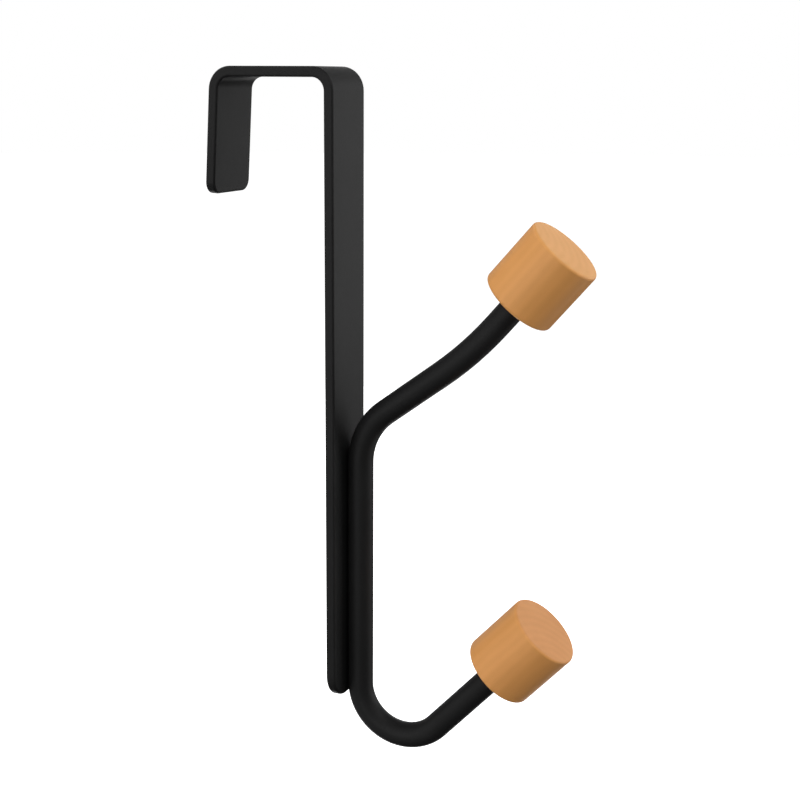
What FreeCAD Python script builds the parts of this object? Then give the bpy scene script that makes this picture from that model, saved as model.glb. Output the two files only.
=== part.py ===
# Over door hook. A flat steel bar is bent over the top edge of a door, a round steel rod
# welded to its long leg is bent into an upper prong and a lower hook, and a turned wooden
# knob sits on each end of the rod.
# X points out of the door's face, Y along the door and Z up. The origin is the centre of
# the top bar's underside, which rests on the door. Millimetres and degrees.
import FreeCAD, Part
import Sketcher
import math
import os

doc = FreeCAD.newDocument("over_door_hook")
sheet = doc.addObject("Spreadsheet::Sheet", "Sizes")
vector = FreeCAD.Vector
tolerance = 1e-4


sizes = {
    # Flat bar
    "door_gap": 35.2,
    "strap_wide": 22.2,
    "strap_thick": 3.18,
    "long_leg": 193.8,
    "short_leg": 35.3,
    "leg_splay_angle": 3.3,
    "strap_bend_r": 4.0,
    "long_end_r": 8.4,
    "short_end_r": 3.7,
    "strap_edge_bevel": 0.5,
    "strap_least_flat": 0.4,

    # Round rod, which lies flat against the long leg on a shallow weld seat
    "rod_d": 8.0,
    "weld_seat": 0.15,
    "rod_low_up": 3.5,
    "rod_straight": 72.9,
    "prong_bend_r": 20.8,
    "prong_bend_angle": 53.7,
    "prong_run": 22.2,
    "prong_ease_r": 112.0,
    "prong_ease_angle": 12.6,
    "prong_tail": 9.0,
    "hook_bend_r": 15.3,
    "hook_rise_angle": 47.0,
    "hook_run": 29.6,
    "rod_end_chamfer": 0.6,

    # Wooden knobs, with a blind bore that takes the rod's end and its glue
    "knob_d": 23.8,
    "knob_long": 21.7,
    "knob_rim_r": 1.5,
    "knob_base_bevel": 1.2,
    "knob_bore_deep": 13.0,
    "knob_bore_clear": 0.05,
}
for row, (name, value) in enumerate(sizes.items(), start=1):
    sheet.set("A%d" % row, name)
    sheet.set("B%d" % row, str(value))
    sheet.setAlias("B%d" % row, name)
doc.recompute()

# Lengths, places and angles that several pieces share, worked out from the sheet
leg_face = "(Sizes.door_gap / 2 + Sizes.strap_thick)"
rod_x = "(%s + Sizes.rod_d / 2 - Sizes.weld_seat)" % leg_face
rod_low = "(Sizes.long_leg - Sizes.rod_low_up)"
rod_middle = "(%s - Sizes.rod_straight / 2)" % rod_low
prong_tip_a = "(Sizes.prong_bend_angle - Sizes.prong_ease_angle)"
hook_tip_a = "(90 - Sizes.hook_rise_angle)"


def number(expression):
    """The value of an expression on the sheet, as a plain number."""
    return float(sheet.evalExpression(expression))


def new_body(label):
    body = doc.addObject("PartDesign::Body", label)
    body.Label = label
    return body


def new_sketch(body, name, role):
    """A sketch on one of the body's own origin planes."""
    plane = [item for item in body.Origin.OriginFeatures if item.Role == role][0]
    sketch = body.newObject("Sketcher::SketchObject", name)
    sketch.AttachmentSupport = [(plane, "")]
    sketch.MapMode = "FlatFace"
    return sketch


def drive(sketch, name, expression, kind, *where):
    """Add a dimension to the sketch and bind it to the sheet."""
    value = number(expression)
    if kind == "Angle":
        value = math.radians(value)
        expression = "(%s) * 1deg" % expression
    index = sketch.addConstraint(Sketcher.Constraint(kind, *where, value))
    sketch.renameConstraint(index, name)
    sketch.setExpression("Constraints." + name, expression)


def hold(sketch, *rules):
    """Add constraints that carry no size."""
    for rule in rules:
        sketch.addConstraint(Sketcher.Constraint(*rule))


def line(start, end):
    return Part.LineSegment(vector(start[0], start[1], 0), vector(end[0], end[1], 0))


def arc(centre, radius, start, end):
    """An arc that runs anticlockwise from one angle to the other, in degrees."""
    circle = Part.Circle(vector(centre[0], centre[1], 0), vector(0, 0, 1), radius)
    return Part.ArcOfCircle(circle, math.radians(start), math.radians(end))


def turned(point, angle, length):
    """The point that lies a length away, at an angle from the sketch's first axis."""
    angle = math.radians(angle)
    return (point[0] + length * math.cos(angle), point[1] + length * math.sin(angle))


def edge_names(shape, wanted):
    """The names of the edges that a rule picks out."""
    return ["Edge%d" % (i + 1) for i, edge in enumerate(shape.Edges) if wanted(edge)]


def dress(body, kind, name, base, edges, size_name, expression):
    """A fillet or chamfer on named edges of the feature before it."""
    feature = body.newObject("PartDesign::" + kind, name)
    feature.Base = (base, edges)
    feature.setExpression(size_name, expression)
    doc.recompute()
    return feature


# The numbers of a curve's start, end and centre, and of a sketch's own two axes
START, END, CENTRE = range(1, 4)
AXES, UPRIGHT_AXIS = range(-1, -3, -1)


def strap_side(body):
    """The bar's closed side view: the inner line goes up the long leg, over the door and
    down the short leg, and the outer line comes back one thickness away."""
    half = number("Sizes.door_gap / 2")
    thick = number("Sizes.strap_thick")
    long_leg = number("Sizes.long_leg")
    short_leg = number("Sizes.short_leg")
    splay = number("Sizes.leg_splay_angle")
    bend = number("Sizes.strap_bend_r")
    down = 270 - splay
    inset = bend * math.tan(math.radians(90 - splay) / 2)
    front = (half - bend, -bend)
    rear = (inset - half, -bend)
    corner = (-half, 0)
    inner_tip = turned(corner, down, short_leg)
    outer_tip = turned(inner_tip, down - 90, thick)
    inner_start = turned(corner, down, inset)
    outer_start = turned(inner_start, down - 90, thick)

    sketch = new_sketch(body, "strap_side", "XZ_Plane")
    sketch.addGeometry([
        line((half, -long_leg), (half, -bend)),
        arc(front, bend, 0, 90),
        line((half - bend, 0), (inset - half, 0)),
        arc(rear, bend, 90, 180 - splay),
        line(inner_start, inner_tip),
        line(inner_tip, outer_tip),
        line(outer_tip, outer_start),
        arc(rear, bend + thick, 90, 180 - splay),
        line((inset - half, thick), (half - bend, thick)),
        arc(front, bend + thick, 0, 90),
        line((half + thick, -bend), (half + thick, -long_leg)),
        line((half + thick, -long_leg), (half, -long_leg)),
    ], False)
    sketch.addGeometry(Part.Point(vector(-half, 0, 0)), True)
    inner_leg, inner_front, inner_top, inner_rear, inner_short, short_tip = range(6)
    outer_short, outer_rear, outer_top, outer_front, outer_leg, long_tip, corner_point = range(6, 13)
    hold(sketch,
         ("Tangent", inner_leg, END, inner_front, START),
         ("Tangent", inner_front, END, inner_top, START),
         ("Tangent", inner_top, END, inner_rear, START),
         ("Tangent", inner_rear, END, inner_short, START),
         ("Coincident", inner_short, END, short_tip, START),
         ("Coincident", short_tip, END, outer_short, START),
         ("Tangent", outer_short, END, outer_rear, END),
         ("Tangent", outer_rear, START, outer_top, START),
         ("Tangent", outer_top, END, outer_front, END),
         ("Tangent", outer_front, START, outer_leg, START),
         ("Coincident", outer_leg, END, long_tip, START),
         ("Coincident", long_tip, END, inner_leg, START),
         ("Coincident", inner_front, CENTRE, outer_front, CENTRE),
         ("Coincident", inner_rear, CENTRE, outer_rear, CENTRE),
         ("Vertical", inner_leg),
         ("Horizontal", long_tip),
         ("Perpendicular", inner_short, short_tip),
         ("PointOnObject", inner_top, START, AXES),
         ("PointOnObject", inner_top, END, AXES),
         ("PointOnObject", corner_point, START, AXES),
         ("PointOnObject", corner_point, START, inner_short))
    drive(sketch, "half_gap", "Sizes.door_gap / 2", "DistanceX", AXES, START, inner_leg, END)
    drive(sketch, "rear_half_gap", "Sizes.door_gap / 2", "DistanceX", corner_point, START, AXES, START)
    drive(sketch, "long_leg", "Sizes.long_leg", "DistanceY", inner_leg, START, AXES, START)
    drive(sketch, "thickness", "Sizes.strap_thick", "DistanceX", long_tip, END, long_tip, START)
    drive(sketch, "front_bend", "Sizes.strap_bend_r", "Radius", inner_front)
    drive(sketch, "rear_bend", "Sizes.strap_bend_r", "Radius", inner_rear)
    drive(sketch, "short_leg", "Sizes.short_leg", "Distance", corner_point, START, inner_short, END)
    drive(sketch, "splay", "-90 - Sizes.leg_splay_angle", "Angle", inner_short)
    return sketch


def strap():
    """One flat bar, bent twice, with rounded corners at both ends and eased edges."""
    body = new_body("strap")
    side = strap_side(body)
    bar = body.newObject("PartDesign::Pad", "bent_bar")
    bar.Profile = side
    bar.SideType = "Symmetric"
    bar.setExpression("Length", "Sizes.strap_wide")
    doc.recompute()

    wide = number("Sizes.strap_wide")
    thick = number("Sizes.strap_thick")
    long_leg = number("Sizes.long_leg")

    def across_thickness(edge):
        return abs(edge.Length - thick) < tolerance

    def at_long_end(edge):
        return across_thickness(edge) and edge.BoundBox.ZMax < tolerance - long_leg

    def at_short_end(edge):
        return across_thickness(edge) and edge.BoundBox.XMax < 0

    # Two roundings share each end and two bevels share each side, with some flat left between.
    corner = "min(Sizes.%s; (Sizes.strap_wide - Sizes.strap_least_flat) / 2)"
    long_end = dress(body, "Fillet", "long_end", bar, edge_names(bar.Shape, at_long_end),
                     "Radius", corner % "long_end_r")
    short_end = dress(body, "Fillet", "short_end", long_end,
                      edge_names(long_end.Shape, at_short_end), "Radius", corner % "short_end_r")

    def on_outline(edge):
        box = edge.BoundBox
        is_bend_line = box.YLength > wide - tolerance
        return not is_bend_line and not across_thickness(edge)

    dress(body, "Chamfer", "eased_edges", short_end, edge_names(short_end.Shape, on_outline),
          "Size", "min(Sizes.strap_edge_bevel; (Sizes.strap_thick - Sizes.strap_least_flat) / 2)")
    return body


def prong_path(body):
    """The rod's axis from the middle of the weld seat up to the upper knob's bore: out from
    the leg, a straight slope, and an easy bend that lifts the tip."""
    x = number(rod_x)
    middle = -number(rod_middle)
    top = middle + number("Sizes.rod_straight / 2")
    bend = number("Sizes.prong_bend_r")
    ease = number("Sizes.prong_ease_r")
    slope = 90 - number("Sizes.prong_bend_angle")
    tip_slope = 90 - number(prong_tip_a)
    slope_start = turned((x + bend, top), slope + 90, bend)
    slope_end = turned(slope_start, slope, number("Sizes.prong_run"))
    ease_centre = turned(slope_end, slope + 90, ease)
    tail_start = turned(ease_centre, tip_slope - 90, ease)
    tip = turned(tail_start, tip_slope, number("Sizes.prong_tail + Sizes.knob_bore_deep"))

    sketch = new_sketch(body, "prong_path", "XZ_Plane")
    sketch.addGeometry([
        line((x, middle), (x, top)),
        arc((x + bend, top), bend, slope + 90, 180),
        line(slope_start, slope_end),
        arc(ease_centre, ease, slope - 90, tip_slope - 90),
        line(tail_start, tip),
    ], False)
    seat, bend_out, run, ease_up, tail = range(5)
    hold(sketch,
         ("Tangent", seat, END, bend_out, END),
         ("Tangent", bend_out, START, run, START),
         ("Tangent", run, END, ease_up, START),
         ("Tangent", ease_up, END, tail, START),
         ("Vertical", seat))
    drive(sketch, "out_of_door", rod_x, "DistanceX", AXES, START, seat, START)
    drive(sketch, "down_the_leg", rod_middle, "DistanceY", seat, START, AXES, START)
    drive(sketch, "seat_up", "Sizes.rod_straight / 2", "DistanceY", seat, START, seat, END)
    drive(sketch, "bend_r", "Sizes.prong_bend_r", "Radius", bend_out)
    drive(sketch, "slope", "90 - Sizes.prong_bend_angle", "Angle", run)
    drive(sketch, "run_long", "Sizes.prong_run", "Distance", run)
    drive(sketch, "ease_r", "Sizes.prong_ease_r", "Radius", ease_up)
    drive(sketch, "tip_slope", "90 - %s" % prong_tip_a, "Angle", tail)
    drive(sketch, "tail_long", "Sizes.prong_tail + Sizes.knob_bore_deep", "Distance", tail)
    return sketch


def hook_path(body):
    """The rod's axis from the middle of the weld seat down, round the lower hook and up
    into the lower knob's bore."""
    x = number(rod_x)
    middle = -number(rod_middle)
    low = -number(rod_low)
    bend = number("Sizes.hook_bend_r")
    rise = number("Sizes.hook_rise_angle")
    centre = (x + bend, low)
    run_start = turned(centre, rise - 90, bend)
    tip = turned(run_start, rise, number("Sizes.hook_run + Sizes.knob_bore_deep"))

    sketch = new_sketch(body, "hook_path", "XZ_Plane")
    sketch.addGeometry([
        line((x, middle), (x, low)),
        arc(centre, bend, 180, 270 + rise),
        line(run_start, tip),
    ], False)
    seat, bend_round, run = range(3)
    hold(sketch,
         ("Tangent", seat, END, bend_round, START),
         ("Tangent", bend_round, END, run, START),
         ("Vertical", seat))
    drive(sketch, "out_of_door", rod_x, "DistanceX", AXES, START, seat, START)
    drive(sketch, "down_the_leg", rod_middle, "DistanceY", seat, START, AXES, START)
    drive(sketch, "seat_down", "Sizes.rod_straight / 2", "DistanceY", seat, END, seat, START)
    drive(sketch, "bend_r", "Sizes.hook_bend_r", "Radius", bend_round)
    drive(sketch, "rise", "Sizes.hook_rise_angle", "Angle", run)
    drive(sketch, "run_long", "Sizes.hook_run + Sizes.knob_bore_deep", "Distance", run)
    return sketch


def rod_section(body):
    """The rod's round section, level, in the middle of the weld seat."""
    sketch = new_sketch(body, "rod_section", "XY_Plane")
    sketch.setExpression("AttachmentOffset.Base.z", "-" + rod_middle)
    centre = vector(number(rod_x), 0, 0)
    sketch.addGeometry(Part.Circle(centre, vector(0, 0, 1), number("Sizes.rod_d / 2")), False)
    hold(sketch, ("PointOnObject", 0, CENTRE, AXES))
    drive(sketch, "out_of_door", rod_x, "DistanceX", AXES, START, 0, CENTRE)
    drive(sketch, "diameter", "Sizes.rod_d", "Diameter", 0)
    return sketch


def seat_cut(body):
    """A rectangle that takes the shallow weld seat off the rod's door side, down the whole
    height of the long leg."""
    face = number(leg_face)
    back = number("%s - Sizes.rod_d / 2" % leg_face)
    low = -number("Sizes.long_leg")
    corners = [(back, low), (face, low), (face, 0), (back, 0)]
    sketch = new_sketch(body, "seat_cut", "XZ_Plane")
    sides = [line(corners[i], corners[(i + 1) % 4]) for i in range(4)]
    sketch.addGeometry(sides, False)
    bottom, front, top, rear = range(4)
    hold(sketch,
         ("Coincident", bottom, END, front, START),
         ("Coincident", front, END, top, START),
         ("Coincident", top, END, rear, START),
         ("Coincident", rear, END, bottom, START),
         ("PointOnObject", front, END, AXES),
         ("Horizontal", bottom), ("Vertical", front), ("Horizontal", top), ("Vertical", rear))
    drive(sketch, "seat_face", leg_face, "DistanceX", AXES, START, front, START)
    drive(sketch, "depth", "Sizes.rod_d / 2", "DistanceX", bottom, START, bottom, END)
    drive(sketch, "height", "Sizes.long_leg", "DistanceY", front, START, front, END)
    return sketch


def hook_rod():
    """One round rod, bent at both ends, with a flat seat where it is welded to the bar."""
    body = new_body("hook_rod")
    section = rod_section(body)
    doc.recompute()
    for name, path in (("prong", prong_path(body)), ("hook", hook_path(body))):
        doc.recompute()
        pipe = body.newObject("PartDesign::AdditivePipe", name)
        pipe.Profile = section
        pipe.Spine = (path, ["Edge%d" % (i + 1) for i in range(path.GeometryCount)])
        doc.recompute()

    clear_of_leg = number("%s + Sizes.rod_d" % rod_x)

    def closes_an_end(edge):
        owners = [face for face in pipe.Shape.Faces if any(edge.isSame(other) for other in face.Edges)]
        is_flat = any(face.Surface.TypeId == "Part::GeomPlane" for face in owners)
        return is_flat and edge.BoundBox.XMin > clear_of_leg

    chamfered = dress(body, "Chamfer", "rod_ends", pipe, edge_names(pipe.Shape, closes_an_end),
                      "Size", "Sizes.rod_end_chamfer")

    cut = seat_cut(body)
    doc.recompute()
    seat = body.newObject("PartDesign::Pocket", "weld_seat")
    seat.Profile = cut
    seat.SideType = "Symmetric"
    seat.setExpression("Length", "Sizes.strap_wide")
    doc.recompute()
    if seat.Shape.Volume > chamfered.Shape.Volume - tolerance:
        raise RuntimeError("the weld seat cut nothing off the rod")
    return body


def knob_half(body):
    """Half of the knob's section, with the bore that the rod's end fills. The outer rim is
    rounded and the rim on the rod's side is bevelled."""
    radius = number("Sizes.knob_d / 2")
    length = number("Sizes.knob_long")
    rim = number("Sizes.knob_rim_r")
    bevel = number("Sizes.knob_base_bevel")
    deep = number("Sizes.knob_bore_deep")
    bore_r = "Sizes.rod_d / 2 + Sizes.knob_bore_clear"
    bore = number(bore_r)
    sketch = new_sketch(body, "half_section", "XZ_Plane")
    sketch.addGeometry([
        line((bore, 0), (radius - bevel, 0)),
        line((radius - bevel, 0), (radius, bevel)),
        line((radius, bevel), (radius, length - rim)),
        arc((radius - rim, length - rim), rim, 0, 90),
        line((radius - rim, length), (0, length)),
        line((0, length), (0, deep)),
        line((0, deep), (bore, deep)),
        line((bore, deep), (bore, 0)),
    ], False)
    base, base_bevel, side, end_rim, end, core, floor, wall = range(8)
    hold(sketch,
         ("Coincident", base, END, base_bevel, START),
         ("Coincident", base_bevel, END, side, START),
         ("Tangent", side, END, end_rim, START),
         ("Tangent", end_rim, END, end, START),
         ("Coincident", end, END, core, START),
         ("Coincident", core, END, floor, START),
         ("Coincident", floor, END, wall, START),
         ("Coincident", wall, END, base, START),
         ("PointOnObject", base, START, AXES),
         ("PointOnObject", core, START, UPRIGHT_AXIS),
         ("PointOnObject", core, END, UPRIGHT_AXIS),
         ("Horizontal", base), ("Vertical", side), ("Horizontal", end),
         ("Horizontal", floor), ("Vertical", wall))
    drive(sketch, "radius", "Sizes.knob_d / 2", "DistanceX", AXES, START, side, START)
    drive(sketch, "length", "Sizes.knob_long", "DistanceY", AXES, START, end, START)
    drive(sketch, "bevel_in", "Sizes.knob_base_bevel", "DistanceX", base_bevel, START, base_bevel, END)
    drive(sketch, "bevel_up", "Sizes.knob_base_bevel", "DistanceY", base_bevel, START, base_bevel, END)
    drive(sketch, "rim_r", "Sizes.knob_rim_r", "Radius", end_rim)
    drive(sketch, "bore_r", bore_r, "DistanceX", AXES, START, base, START)
    drive(sketch, "bore_deep", "Sizes.knob_bore_deep", "DistanceY", AXES, START, floor, END)
    return sketch


def knob(label, x, z, tilt):
    """A turned wooden cylinder, set on the rod's end: place and tilt come from the rod."""
    body = new_body(label)
    half = knob_half(body)
    doc.recompute()
    turned_wood = body.newObject("PartDesign::Revolution", label + "_turned")
    turned_wood.Profile = half
    turned_wood.ReferenceAxis = (half, ["V_Axis"])
    turned_wood.Angle = 360
    body.Placement = FreeCAD.Placement(vector(0, 0, 0), FreeCAD.Rotation(vector(0, 1, 0), number(tilt)))
    body.setExpression("Placement.Base.x", x)
    body.setExpression("Placement.Base.z", z)
    body.setExpression("Placement.Rotation.Angle", tilt + " * 1deg")
    doc.recompute()
    return body


def upper_knob():
    """On the tip of the upper prong, where the rod's straight tail ends."""
    bend = "Sizes.prong_bend_r"
    turn = "Sizes.prong_bend_angle"
    ease = "Sizes.prong_ease_r"
    out = "%s + %s * (1 - cos(%s)) + Sizes.prong_run * sin(%s)" % (rod_x, bend, turn, turn)
    out += " + %s * (cos(%s) - cos(%s))" % (ease, prong_tip_a, turn)
    out += " + Sizes.prong_tail * sin(%s)" % prong_tip_a
    up = "Sizes.rod_straight - %s + %s * sin(%s)" % (rod_low, bend, turn)
    up += " + Sizes.prong_run * cos(%s) + %s * (sin(%s) - sin(%s))" % (turn, ease, turn, prong_tip_a)
    up += " + Sizes.prong_tail * cos(%s)" % prong_tip_a
    return knob("upper_knob", out, up, prong_tip_a)


def lower_knob():
    """On the tip of the lower hook."""
    bend = "Sizes.hook_bend_r"
    rise = "Sizes.hook_rise_angle"
    out = "%s + %s * (1 + sin(%s)) + Sizes.hook_run * cos(%s)" % (rod_x, bend, rise, rise)
    up = "-%s - %s * cos(%s) + Sizes.hook_run * sin(%s)" % (rod_low, bend, rise, rise)
    return knob("lower_knob", out, up, hook_tip_a)


pieces = [strap(), hook_rod(), upper_knob(), lower_knob()]
doc.recompute()

for item in doc.Objects:
    if "Invalid" in item.State or "Error" in item.State:
        raise RuntimeError("%s did not compute: %s" % (item.Name, item.State))
for piece in pieces:
    if piece.Shape.isNull() or not piece.Shape.isValid() or len(piece.Shape.Solids) != 1:
        raise RuntimeError("%s is not one sound solid" % piece.Label)

os.makedirs("parts", exist_ok=True)
for piece in pieces:
    piece.Shape.exportStep("parts/%s.step" % piece.Label)
    box = piece.Shape.BoundBox
    print("%-12s volume %8.1f  X %7.2f to %7.2f  Y %6.2f to %6.2f  Z %8.2f to %7.2f" % (
        piece.Label, piece.Shape.Volume, box.XMin, box.XMax, box.YMin, box.YMax, box.ZMin, box.ZMax))
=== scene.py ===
import math

import bmesh
import bpy
from mathutils import Matrix, Vector


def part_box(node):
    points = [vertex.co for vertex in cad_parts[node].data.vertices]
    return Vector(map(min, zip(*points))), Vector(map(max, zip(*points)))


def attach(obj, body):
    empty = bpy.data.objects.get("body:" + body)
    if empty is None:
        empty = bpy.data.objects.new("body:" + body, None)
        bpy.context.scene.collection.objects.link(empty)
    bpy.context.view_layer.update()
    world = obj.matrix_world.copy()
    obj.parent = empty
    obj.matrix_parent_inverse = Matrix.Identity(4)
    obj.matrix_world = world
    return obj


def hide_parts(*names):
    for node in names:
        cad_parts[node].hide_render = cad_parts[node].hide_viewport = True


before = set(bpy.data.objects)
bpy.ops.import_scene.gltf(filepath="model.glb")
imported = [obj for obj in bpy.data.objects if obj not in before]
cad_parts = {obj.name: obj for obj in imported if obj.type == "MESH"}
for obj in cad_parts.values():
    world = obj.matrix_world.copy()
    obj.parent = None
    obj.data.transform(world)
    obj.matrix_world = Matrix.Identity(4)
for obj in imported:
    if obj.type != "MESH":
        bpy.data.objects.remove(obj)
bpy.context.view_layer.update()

MM = 0.001
TINY = 1e-9
RIGHT_ANGLE = math.pi / 2
UP = RIGHT_ANGLE
DOWN = -RIGHT_ANGLE
WHITE = (1, 1, 1)

# The bar: width, thickness, gap and long leg from the frame, the rest as made
strap_low, strap_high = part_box("strap")
BAR_WIDE = strap_high.y - strap_low.y
BAR_THICK = strap_high.z
LEG_FACE = strap_high.x
HALF_GAP = LEG_FACE - BAR_THICK
LONG_LEG = -strap_low.z
SHORT_LEG = 35.3 * MM
LEG_SPLAY = math.radians(3.3)
BAR_BEND_R = 4.0 * MM
LONG_END_R = 8.4 * MM
SHORT_END_R = 3.7 * MM
BAR_EDGE_R = 0.75 * MM
BAR_BEND_CUTS = 12
BAR_EDGE_CUTS = 5
BAR_CORNER_CUTS = 14
ROUND_PROFILE = 0.5

# The rod: its axis runs up the prong and down round the hook from the middle of its seat
rod_low, rod_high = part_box("hook_rod")
ROD_R = (rod_high.y - rod_low.y) / 2
WELD_SEAT = 0.15 * MM
ROD_X = LEG_FACE + ROD_R - WELD_SEAT
ROD_LOW_UP = 3.5 * MM
ROD_STRAIGHT = 72.9 * MM
PRONG_BEND_R = 20.8 * MM
PRONG_BEND = math.radians(53.7)
PRONG_RUN = 22.2 * MM
PRONG_EASE_R = 112.0 * MM
PRONG_EASE = math.radians(12.6)
PRONG_TAIL = 9.0 * MM
HOOK_BEND_R = 15.3 * MM
HOOK_RISE = math.radians(47.0)
HOOK_RUN = 29.6 * MM
ROD_END_BEVEL = 0.6 * MM
ROD_SIDES = 72
ROD_STEP = math.radians(2.5)

# The knobs: turned cylinders with a blind bore
KNOB_R = 11.9 * MM
KNOB_LONG = 21.7 * MM
KNOB_RIM_R = 0.9 * MM
KNOB_BASE_R = 1.1 * MM
BORE_DEEP = 13.0 * MM
BORE_R = ROD_R + 0.05 * MM
BORE_EASE = 0.25 * MM
KNOB_SIDES = 160
RIM_CUTS = 10

# How strongly large faces lead the shading, from 1 to 100, where 50 is neutral
SHADING_WEIGHT = 80


def heading_vector(heading):
    """The direction of travel in the plane Y = 0, from an angle that turns from +X to +Z."""
    return Vector((math.cos(heading), 0, math.sin(heading)))


class Route:
    """A smooth line in the plane Y = 0, made of straight runs and round bends. Each step is
    its length and its turn, which is positive to the left."""

    def __init__(self, start, heading, steps):
        self.legs = []
        self.length = 0.0
        for length, turn in steps:
            self.legs.append((self.length, length, Vector(start), heading, turn / length))
            self.length += length
            start, heading = self.at(self.length)
        self.end = start
        self.end_heading = heading

    def at(self, distance):
        """The point and the heading at a distance along the line."""
        reached = [leg for leg in self.legs if leg[0] <= distance + TINY]
        first, _, start, heading, curve = reached[-1] if reached else self.legs[0]
        along = distance - first
        if abs(curve) < TINY:
            return start + heading_vector(heading) * along, heading
        turned = heading + curve * along
        side = Vector((math.sin(turned) - math.sin(heading), 0,
                       math.cos(heading) - math.cos(turned)))
        return start + side / curve, turned

    def stations(self, step_angle):
        """Distances that divide every bend finely and every run at its ends only."""
        found = [0.0]
        for first, length, _, _, curve in self.legs:
            cuts = max(1, math.ceil(abs(curve) * length / step_angle))
            found += [first + length * (i + 1) / cuts for i in range(cuts)]
        return found


def bend_step(radius, turn):
    return (radius * abs(turn), turn)


def run_step(length):
    return (length, 0.0)


def quarter_arc(centre, radius, first, cuts):
    """Points on a quarter circle, anticlockwise from an angle in degrees."""
    for i in range(cuts + 1):
        angle = math.radians(first + 90 * i / cuts)
        yield (centre[0] + radius * math.cos(angle), centre[1] + radius * math.sin(angle))


def circle(radius, sides):
    """Points on a whole circle about the origin."""
    for i in range(sides):
        angle = 2 * math.pi * i / sides
        yield (radius * math.cos(angle), radius * math.sin(angle))


def skin(bm, loops):
    """Join each loop of vertices to the next. A loop may be one vertex repeated."""
    for near, far in zip(loops, loops[1:]):
        for i in range(len(near)):
            j = (i + 1) % len(near)
            bm.faces.new(list(dict.fromkeys((near[i], near[j], far[j], far[i]))))


def new_piece(name, bm, node, material, matrix=None):
    """Make an object of a bmesh, let it ride on the one body and stand for a CAD node."""
    mesh = bpy.data.meshes.new(name)
    bmesh.ops.recalc_face_normals(bm, faces=bm.faces)
    bm.to_mesh(mesh)
    bm.free()
    mesh.polygons.foreach_set("use_smooth", [True] * len(mesh.polygons))
    piece = bpy.data.objects.new(name, mesh)
    bpy.context.scene.collection.objects.link(piece)
    if matrix is not None:
        piece.matrix_world = matrix
    mesh.materials.append(material)
    weighted = piece.modifiers.new("even_shading", "WEIGHTED_NORMAL")
    weighted.mode = "FACE_AREA_WITH_ANGLE"
    weighted.weight = SHADING_WEIGHT
    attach(piece, "root")
    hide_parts(node)


def bar_blank(length):
    """The flat blank: distance along the bar in x, width in y and thickness in z, with
    rounded corners at both ends and rounded edges all round."""
    half = BAR_WIDE / 2
    corners = (
        ((length - SHORT_END_R, half - SHORT_END_R), SHORT_END_R, 0),
        ((LONG_END_R, half - LONG_END_R), LONG_END_R, 90),
        ((LONG_END_R, LONG_END_R - half), LONG_END_R, 180),
        ((length - SHORT_END_R, SHORT_END_R - half), SHORT_END_R, 270))
    outline = [point for centre, radius, first in corners
               for point in quarter_arc(centre, radius, first, BAR_CORNER_CUTS)]
    bm = bmesh.new()
    face = bm.faces.new([bm.verts.new((x, y, 0)) for x, y in outline])
    raised = bmesh.ops.extrude_face_region(bm, geom=[face], use_keep_orig=True)["geom"]
    bmesh.ops.translate(bm, vec=(0, 0, BAR_THICK),
                        verts=[item for item in raised if isinstance(item, bmesh.types.BMVert)])
    rims = [edge for edge in bm.edges if edge.verts[0].co.z == edge.verts[1].co.z]
    bmesh.ops.bevel(bm, geom=rims, offset=BAR_EDGE_R, offset_type="OFFSET",
                    segments=BAR_EDGE_CUTS, profile=ROUND_PROFILE, affect="EDGES")
    return bm


def bar_route():
    """The bar's inner line: up the long leg, over the door and down the short leg."""
    turn = RIGHT_ANGLE - LEG_SPLAY
    inset = BAR_BEND_R * math.tan(turn / 2)
    return Route(Vector((HALF_GAP, 0, -LONG_LEG)), UP, [
        run_step(LONG_LEG - BAR_BEND_R),
        bend_step(BAR_BEND_R, RIGHT_ANGLE),
        run_step(2 * HALF_GAP - BAR_BEND_R - inset),
        bend_step(BAR_BEND_R, turn),
        run_step(SHORT_LEG - inset)])


def bent_bar(material):
    """Cut the blank across wherever it bends, and bend it round the door's top."""
    route = bar_route()
    bm = bar_blank(route.length)
    for distance in route.stations(RIGHT_ANGLE / BAR_BEND_CUTS)[1:-1]:
        everything = bm.verts[:] + bm.edges[:] + bm.faces[:]
        bmesh.ops.bisect_plane(bm, geom=everything, plane_co=(distance, 0, 0),
                               plane_no=(1, 0, 0))
    for vert in bm.verts:
        point, heading = route.at(vert.co.x)
        outward = heading_vector(heading - RIGHT_ANGLE)
        vert.co = point + outward * vert.co.z + Vector((0, vert.co.y, 0))
    new_piece("bent_bar", bm, "strap", material)


def rod_routes():
    """The rod's axis, up from the middle of its seat to the prong's tip and down from there
    to the hook's tip."""
    middle = Vector((ROD_X, 0, ROD_LOW_UP - LONG_LEG + ROD_STRAIGHT / 2))
    prong = Route(middle, UP, [
        run_step(ROD_STRAIGHT / 2),
        bend_step(PRONG_BEND_R, -PRONG_BEND),
        run_step(PRONG_RUN),
        bend_step(PRONG_EASE_R, PRONG_EASE),
        run_step(PRONG_TAIL + BORE_DEEP)])
    hook = Route(middle, DOWN, [
        run_step(ROD_STRAIGHT / 2),
        bend_step(HOOK_BEND_R, RIGHT_ANGLE + HOOK_RISE),
        run_step(HOOK_RUN + BORE_DEEP)])
    return prong, hook


def rod_rings(route, side):
    """Centre, sideways direction and radius of each ring along a route, with a bevelled tip.
    The side is 1 for the direction to the right of the route and -1 for the left."""
    stations = route.stations(ROD_STEP)[:-1]
    stations += [route.length - ROD_END_BEVEL, route.length]
    for distance in stations:
        centre, heading = route.at(distance)
        radius = ROD_R - ROD_END_BEVEL if distance == route.length else ROD_R
        yield centre, heading_vector(heading - side * RIGHT_ANGLE), radius


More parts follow.
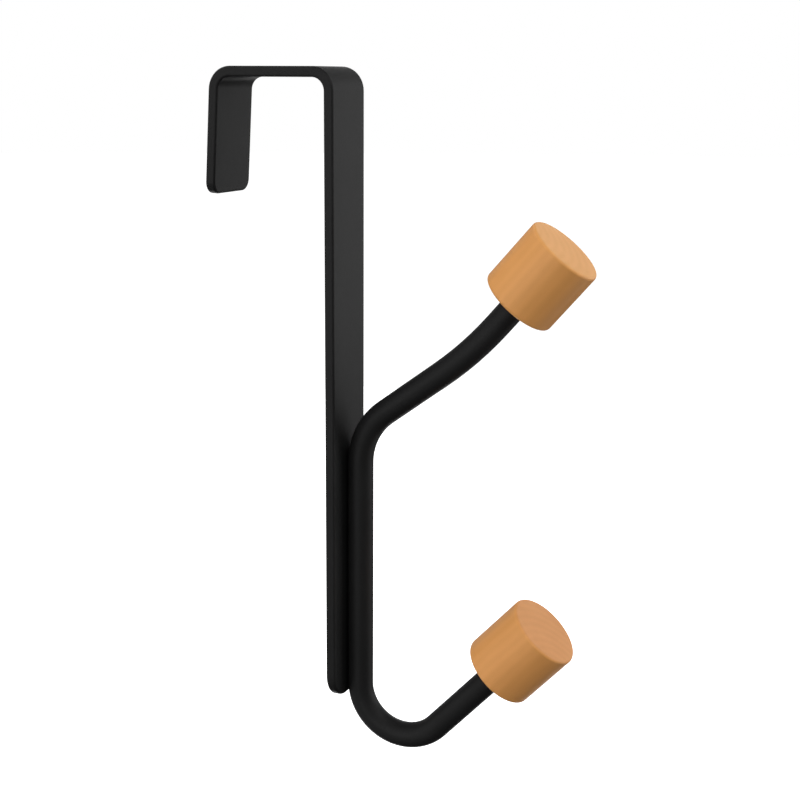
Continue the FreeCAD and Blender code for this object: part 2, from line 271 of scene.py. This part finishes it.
def round_rod(material):
    """One rod from tip to tip, with a flat seat where it lies against the long leg."""
    prong, hook = rod_routes()
    rings = list(rod_rings(hook, -1))[:0:-1] + list(rod_rings(prong, 1))
    bm = bmesh.new()
    loops = []
    for centre, sideways, radius in rings:
        loop = []
        for out, along in circle(radius, ROD_SIDES):
            point = centre + sideways * out + Vector((0, along, 0))
            if point.z > -LONG_LEG and point.x < LEG_FACE:
                point.x = LEG_FACE
            loop.append(bm.verts.new(point))
        loops.append(loop)
    skin(bm, loops)
    bm.faces.new(loops[0])
    bm.faces.new(loops[-1])
    new_piece("round_rod", bm, "hook_rod", material)


def knob_profile():
    """Radius and height from the middle of the cap, round the outside and into the bore."""
    rim = quarter_arc((KNOB_R - KNOB_RIM_R, KNOB_LONG - KNOB_RIM_R), KNOB_RIM_R,
                      first=0, cuts=RIM_CUTS)
    base = quarter_arc((KNOB_R - KNOB_BASE_R, KNOB_BASE_R), KNOB_BASE_R,
                       first=270, cuts=RIM_CUTS)
    bore = [(BORE_R + BORE_EASE, 0.0), (BORE_R, BORE_EASE), (BORE_R, BORE_DEEP),
            (0.0, BORE_DEEP)]
    return [(0.0, KNOB_LONG)] + list(rim)[::-1] + list(base)[::-1] + bore


def turned_knob(name, node, tip, heading, material):
    """A knob turned about its own Z axis, with its base where the rod goes in and the floor
    of its bore at the rod's tip."""
    bm = bmesh.new()
    loops = []
    for radius, height in knob_profile():
        if radius == 0:
            loops.append([bm.verts.new((0, 0, height))] * KNOB_SIDES)
        else:
            loops.append([bm.verts.new((x, y, height)) for x, y in circle(radius, KNOB_SIDES)])
    skin(bm, loops)
    base = tip - heading_vector(heading) * BORE_DEEP
    matrix = Matrix.Translation(base) @ Matrix.Rotation(RIGHT_ANGLE - heading, 4, "Y")
    new_piece(name, bm, node, material, matrix)


class Nodes:
    """A material's node tree, with short ways to add a node and link it."""

    # Where a Mix node for colours has its factor, its two colours and its result
    MIX_INPUTS = (0, 6, 7)
    MIX_RESULT = 2

    def __init__(self, name):
        self.material = bpy.data.materials.new(name)
        self.material.use_nodes = True
        self.tree = self.material.node_tree
        self.shader = self.tree.nodes["Principled BSDF"]

    def add(self, kind, **settings):
        node = self.tree.nodes.new("ShaderNode" + kind)
        for key, value in settings.items():
            if key in node.inputs:
                node.inputs[key].default_value = value
            else:
                setattr(node, key, value)
        return node

    def link(self, source, target):
        self.tree.links.new(source, target)

    def feed(self, target, value):
        """Link a socket to the target, or set a colour or a number on the target itself."""
        if isinstance(value, bpy.types.NodeSocket):
            self.link(value, target)
        elif isinstance(value, tuple):
            target.default_value = (*value, 1)
        else:
            target.default_value = value

    def surface(self, key, value):
        """Give the shader a socket that varies, or one value all over."""
        self.feed(self.shader.inputs[key], value)

    def coordinates(self, stretch):
        """Object coordinates in millimetres, with a scale of its own for each axis."""
        place = self.add("TexCoord")
        mapping = self.add("Mapping")
        mapping.inputs["Scale"].default_value = [value / MM for value in stretch]
        self.link(place.outputs["Object"], mapping.inputs["Vector"])
        return mapping.outputs["Vector"]

    def noise(self, per_mm, detail, rough=0.5, stretch=(1, 1, 1)):
        """Noise with about so many features to a millimetre."""
        node = self.add("TexNoise", Scale=per_mm, Detail=detail, Roughness=rough)
        self.link(self.coordinates(stretch), node.inputs["Vector"])
        return node.outputs["Fac"]

    def remap(self, value, span, onto=(0.0, 1.0)):
        """Carry a span of the value evenly onto another, and hold it at both ends."""
        node = self.add("MapRange")
        self.link(value, node.inputs["Value"])
        for key, number in zip(("From Min", "From Max", "To Min", "To Max"), (*span, *onto)):
            node.inputs[key].default_value = number
        return node.outputs["Result"]

    def mix(self, factor, first, second):
        """Mix two colours; each may be a socket or a colour."""
        node = self.add("Mix", data_type="RGBA")
        for index, value in zip(self.MIX_INPUTS, (factor, first, second)):
            self.feed(node.inputs[index], value)
        return node.outputs[self.MIX_RESULT]

    def math(self, operation, first, second):
        """Work on two numbers; each may be a socket or a number."""
        node = self.add("Math", operation=operation)
        self.feed(node.inputs[0], first)
        self.feed(node.inputs[1], second)
        return node.outputs[0]

    def bump(self, height, distance, below=None):
        """The normal of a surface this high in places, on top of another bump if given."""
        node = self.add("Bump", Strength=1.0, Distance=distance)
        self.link(height, node.inputs["Height"])
        if below is not None:
            self.link(below, node.inputs["Normal"])
        return node.outputs["Normal"]


# The steel's coat: nearly black, with a speckle of slow drift and fine grain
COAT_DARK = (0.0098, 0.0098, 0.0099)
COAT_PALE = (0.0129, 0.0129, 0.0131)
COAT_ROUGH = (0.43, 0.49)
COAT_SPECULAR = 0.11
SPECKLE_SPAN = (0.7, 1.3)
PEEL_HIGH = 0.012 * MM
GRAIN_HIGH = 0.004 * MM


def powder_coat():
    """Satin black powder coat: nearly smooth, with a fine grain and a slight orange peel."""
    nodes = Nodes("satin_black_powder_coat")
    drift = nodes.noise(per_mm=0.06, detail=2)
    grain = nodes.noise(per_mm=4.0, detail=3, rough=0.6)
    peel = nodes.noise(per_mm=0.9, detail=1)
    speckle = nodes.math("ADD", drift, grain)
    tone = nodes.remap(speckle, SPECKLE_SPAN)
    nodes.surface("Base Color", nodes.mix(tone, COAT_DARK, COAT_PALE))
    nodes.surface("Roughness", nodes.remap(speckle, SPECKLE_SPAN, COAT_ROUGH))
    nodes.surface("Specular IOR Level", COAT_SPECULAR)
    peeled = nodes.bump(peel, PEEL_HIGH)
    nodes.surface("Normal", nodes.bump(grain, GRAIN_HIGH, below=peeled))
    return nodes.material


# The knobs' wood: growth rings, streaks and broad bands add up to its tone
RINGS_PER_MM = 0.11
RING_WOBBLE = 2.2
RING_WOBBLE_DETAIL = 3.0
RING_WOBBLE_SCALE = 0.25
RING_SHARE = 0.22
STREAK_SHARE = 0.25
BAND_SHARE = 0.9
TONE_SPAN = (0.45, 0.95)
END_SPAN = (0.6, 0.95)
END_DARK = 0.93
FLECK_SPAN = (0.62, 0.74)
FLECK_SHARE = 0.10
FLECK_TINT = (0.7, 0.62, 0.5)
WOOD_ROUGH = (0.40, 0.46)
WOOD_SPECULAR = 0.23
STREAK_HIGH = 0.01 * MM
FLECK_HIGH = 0.005 * MM


def growth_rings(nodes, place, pith):
    """Rings round an axis beside the knob's own. The offset is in millimetres, and its last
    number, along the grain, only varies the wobble."""
    shift = nodes.add("Mapping")
    shift.inputs["Location"].default_value = [value * MM for value in pith]
    nodes.link(place, shift.inputs["Vector"])
    rings = nodes.add("TexWave", wave_type="RINGS", rings_direction="Z", wave_profile="SIN",
                      Scale=RINGS_PER_MM / MM, Distortion=RING_WOBBLE,
                      Detail=RING_WOBBLE_DETAIL)
    rings.inputs["Detail Scale"].default_value = RING_WOBBLE_SCALE
    nodes.link(shift.outputs["Vector"], rings.inputs["Vector"])
    return rings.outputs["Fac"]


def turned_wood(name, light, dark, end, pith):
    """Light hardwood, turned and lacquered: the grain runs along the knob's own Z axis, so
    the side shows long streaks and flecks and the cap's end grain shows arcs of rings."""
    nodes = Nodes(name)
    place = nodes.add("TexCoord")
    rings = growth_rings(nodes, place.outputs["Object"], pith)
    streaks = nodes.noise(per_mm=1.1, detail=4, rough=0.6, stretch=(1, 1, 0.05))
    bands = nodes.noise(per_mm=0.12, detail=2, stretch=(1, 1, 0.35))
    flecks = nodes.noise(per_mm=3.0, detail=2, rough=0.55, stretch=(1, 1, 0.14))
    tone = nodes.math("MULTIPLY", rings, RING_SHARE)
    for part, share in ((streaks, STREAK_SHARE), (bands, BAND_SHARE)):
        tone = nodes.math("ADD", tone, nodes.math("MULTIPLY", part, share))
    tone = nodes.remap(tone, TONE_SPAN)
    split = nodes.add("SeparateXYZ")
    nodes.link(place.outputs["Normal"], split.inputs[0])
    # The end faces take a colour of their own. Where it is lighter and paler than the side, as
    # on the upper knob, it is painted sheen on the cap.
    facing_end = nodes.remap(split.outputs["Z"], END_SPAN)
    side_colour = nodes.mix(tone, light, dark)
    end_colour = nodes.mix(tone, end, tuple(value * END_DARK for value in end))
    colour = nodes.mix(facing_end, side_colour, end_colour)
    deep = tuple(value * tint for value, tint in zip(dark, FLECK_TINT))
    fleck = nodes.math("MULTIPLY", nodes.remap(flecks, FLECK_SPAN), FLECK_SHARE)
    nodes.surface("Base Color", nodes.mix(fleck, colour, deep))
    nodes.surface("Roughness", nodes.remap(tone, (0.0, 1.0), WOOD_ROUGH))
    nodes.surface("Specular IOR Level", WOOD_SPECULAR)
    streaked = nodes.bump(streaks, STREAK_HIGH)
    nodes.surface("Normal", nodes.bump(flecks, FLECK_HIGH, below=streaked))
    return nodes.material


# Camera, fitted to the photograph; lens and sensor in millimetres
AZIMUTH = math.radians(23.369)
ELEVATION = math.radians(12.179)
ROLL = math.radians(0.325)
TARGET = Vector((37.849, 0.0, -96.353)) * MM
DISTANCE = 458.479 * MM
LENS = 67.5
SENSOR = 36.0
NEAREST = 0.01
FARTHEST = 50.0


def compass(azimuth, elevation):
    """The direction at an azimuth, which runs from -Y towards +X, and an elevation."""
    return Vector((math.sin(azimuth) * math.cos(elevation),
                   -math.cos(azimuth) * math.cos(elevation), math.sin(elevation)))


def camera():
    """The photograph's view: the camera stands back from its target and rolls a little."""
    back = compass(AZIMUTH, ELEVATION)
    level = Vector((math.cos(AZIMUTH), math.sin(AZIMUTH), 0))
    upright = back.cross(level)
    right = level * math.cos(ROLL) + upright * math.sin(ROLL)
    up = upright * math.cos(ROLL) - level * math.sin(ROLL)
    data = bpy.data.cameras.new("camera")
    data.lens = LENS
    data.sensor_width = SENSOR
    data.clip_start = NEAREST
    data.clip_end = FARTHEST
    eye = bpy.data.objects.new("camera", data)
    bpy.context.scene.collection.objects.link(eye)
    turn = Matrix((right, up, back)).transposed().to_4x4()
    eye.matrix_world = Matrix.Translation(TARGET + back * DISTANCE) @ turn
    bpy.context.scene.camera = eye


# Studio: a pale room, and rows of soft panels aimed at about the object's middle
FLOOR_Z = -0.42
FLOOR_R = 8.0
FLOOR_SIDES = 96
FLOOR_DARK = (0.80, 0.80, 0.80)
FLOOR_PALE = (0.84, 0.84, 0.84)
FLOOR_ROUGH = 0.9
FLOOR_GLOW = 1.1
ROOM_LIGHT = 0.029
ROOM_SEEN = 1.0
LIGHT_TARGET = Vector((0.04, 0, -0.1))
LIGHT_DISTANCE = 1.5
PANEL_ROWS = (
    # name, elevation in degrees, width and height in metres, and the azimuth in degrees and
    # power in watts of each panel
    ("level", 5, (0.85, 1.0), (
        (-120, 0.7), (-80, 2.3), (-48, 3.2), (-18, 2.8), (15, 1.2), (50, 0.3),
        (85, 0.4), (120, 7.9), (155, 2.5), (190, 3.6), (225, 0.7))),
    ("high", 45, (0.9, 0.8), (
        (-90, 4.6), (-45, 2.1), (0, 1.1), (45, 3.6), (90, 7.0), (135, 1.2), (180, 0.3),
        (225, 0.9))),
    ("top", 88, (1.0, 1.0), ((0, 1.5),)),
    ("low", -40, (1.3, 0.8), (
        (-60, 2.1), (30, 0.5), (120, 3.1), (210, 6.8))),
    ("strip", 5, (0.3, 1.2), ((-25, 1.9), (-3, 2.5))),
    ("high_strip", 35, (0.4, 0.6), ((-3, 1.5),)),
    ("low_strip", -30, (0.4, 0.6), ((-3, 1.1),)),
)


def panel(name, azimuth, elevation, size, power):
    """A soft light that faces the object and that the camera doesn't see."""
    outward = compass(math.radians(azimuth), math.radians(elevation))
    data = bpy.data.lights.new(name, "AREA")
    data.shape = "RECTANGLE"
    data.size, data.size_y = size
    data.energy = power
    lamp = bpy.data.objects.new(name, data)
    lamp.location = LIGHT_TARGET + outward * LIGHT_DISTANCE
    lamp.rotation_euler = outward.to_track_quat("Z", "Y").to_euler()
    lamp.visible_camera = False
    bpy.context.scene.collection.objects.link(lamp)


def room():
    """A surround that looks white from the camera and lights the object only faintly."""
    world = bpy.data.worlds.new("pale_room")
    world.use_nodes = True
    tree = world.node_tree
    light = tree.nodes["Background"]
    seen = tree.nodes.new("ShaderNodeBackground")
    for background, strength in ((light, ROOM_LIGHT), (seen, ROOM_SEEN)):
        background.inputs["Color"].default_value = (*WHITE, 1)
        background.inputs["Strength"].default_value = strength
    path = tree.nodes.new("ShaderNodeLightPath")
    choose = tree.nodes.new("ShaderNodeMixShader")
    tree.links.new(path.outputs["Is Camera Ray"], choose.inputs["Fac"])
    tree.links.new(light.outputs[0], choose.inputs[1])
    tree.links.new(seen.outputs[0], choose.inputs[2])
    tree.links.new(choose.outputs[0], tree.nodes["World Output"].inputs["Surface"])
    bpy.context.scene.world = world


def floor():
    """A pale floor well below the object, which glows to look as white as the room. It
    throws no light on the object and doesn't block the panels that are below it."""
    bm = bmesh.new()
    bmesh.ops.create_circle(bm, cap_ends=True, radius=FLOOR_R, segments=FLOOR_SIDES)
    mesh = bpy.data.meshes.new("floor")
    bm.to_mesh(mesh)
    bm.free()
    ground = bpy.data.objects.new("floor", mesh)
    ground.location = (0, 0, FLOOR_Z)
    ground.visible_diffuse = False
    ground.visible_glossy = False
    ground.visible_shadow = False
    bpy.context.scene.collection.objects.link(ground)
    nodes = Nodes("pale_floor")
    mottle = nodes.noise(per_mm=0.01, detail=3)
    nodes.surface("Base Color", nodes.mix(mottle, FLOOR_DARK, FLOOR_PALE))
    nodes.surface("Roughness", FLOOR_ROUGH)
    nodes.surface("Specular IOR Level", 0.0)
    nodes.surface("Emission Color", WHITE)
    nodes.surface("Emission Strength", FLOOR_GLOW)
    mesh.materials.append(nodes.material)


def studio():
    room()
    floor()
    for row, elevation, size, panels in PANEL_ROWS:
        for azimuth, power in panels:
            panel(f"{row}_{azimuth}", azimuth, elevation, size, power)
    view = bpy.context.scene.view_settings
    view.view_transform = "Standard"
    view.look = "None"


steel = powder_coat()
bent_bar(steel)
round_rod(steel)
prong_route, hook_route = rod_routes()
# The upper knob's end colour is lighter and paler than its side: painted sheen on its cap. The
# lower knob's end colour is a pinker tone of the wood.
upper_wood = turned_wood("upper_wood", light=(0.74, 0.341, 0.104), dark=(0.68, 0.309, 0.090),
                         end=(0.81, 0.400, 0.132), pith=(14, 9, 3))
lower_wood = turned_wood("lower_wood", light=(0.72, 0.328, 0.101), dark=(0.66, 0.297, 0.087),
                         end=(0.70, 0.318, 0.113), pith=(-12, 13, 41))
turned_knob("upper_knob_wood", "upper_knob", prong_route.end, prong_route.end_heading,
            upper_wood)
turned_knob("lower_knob_wood", "lower_knob", hook_route.end, hook_route.end_heading,
            lower_wood)
camera()
studio()
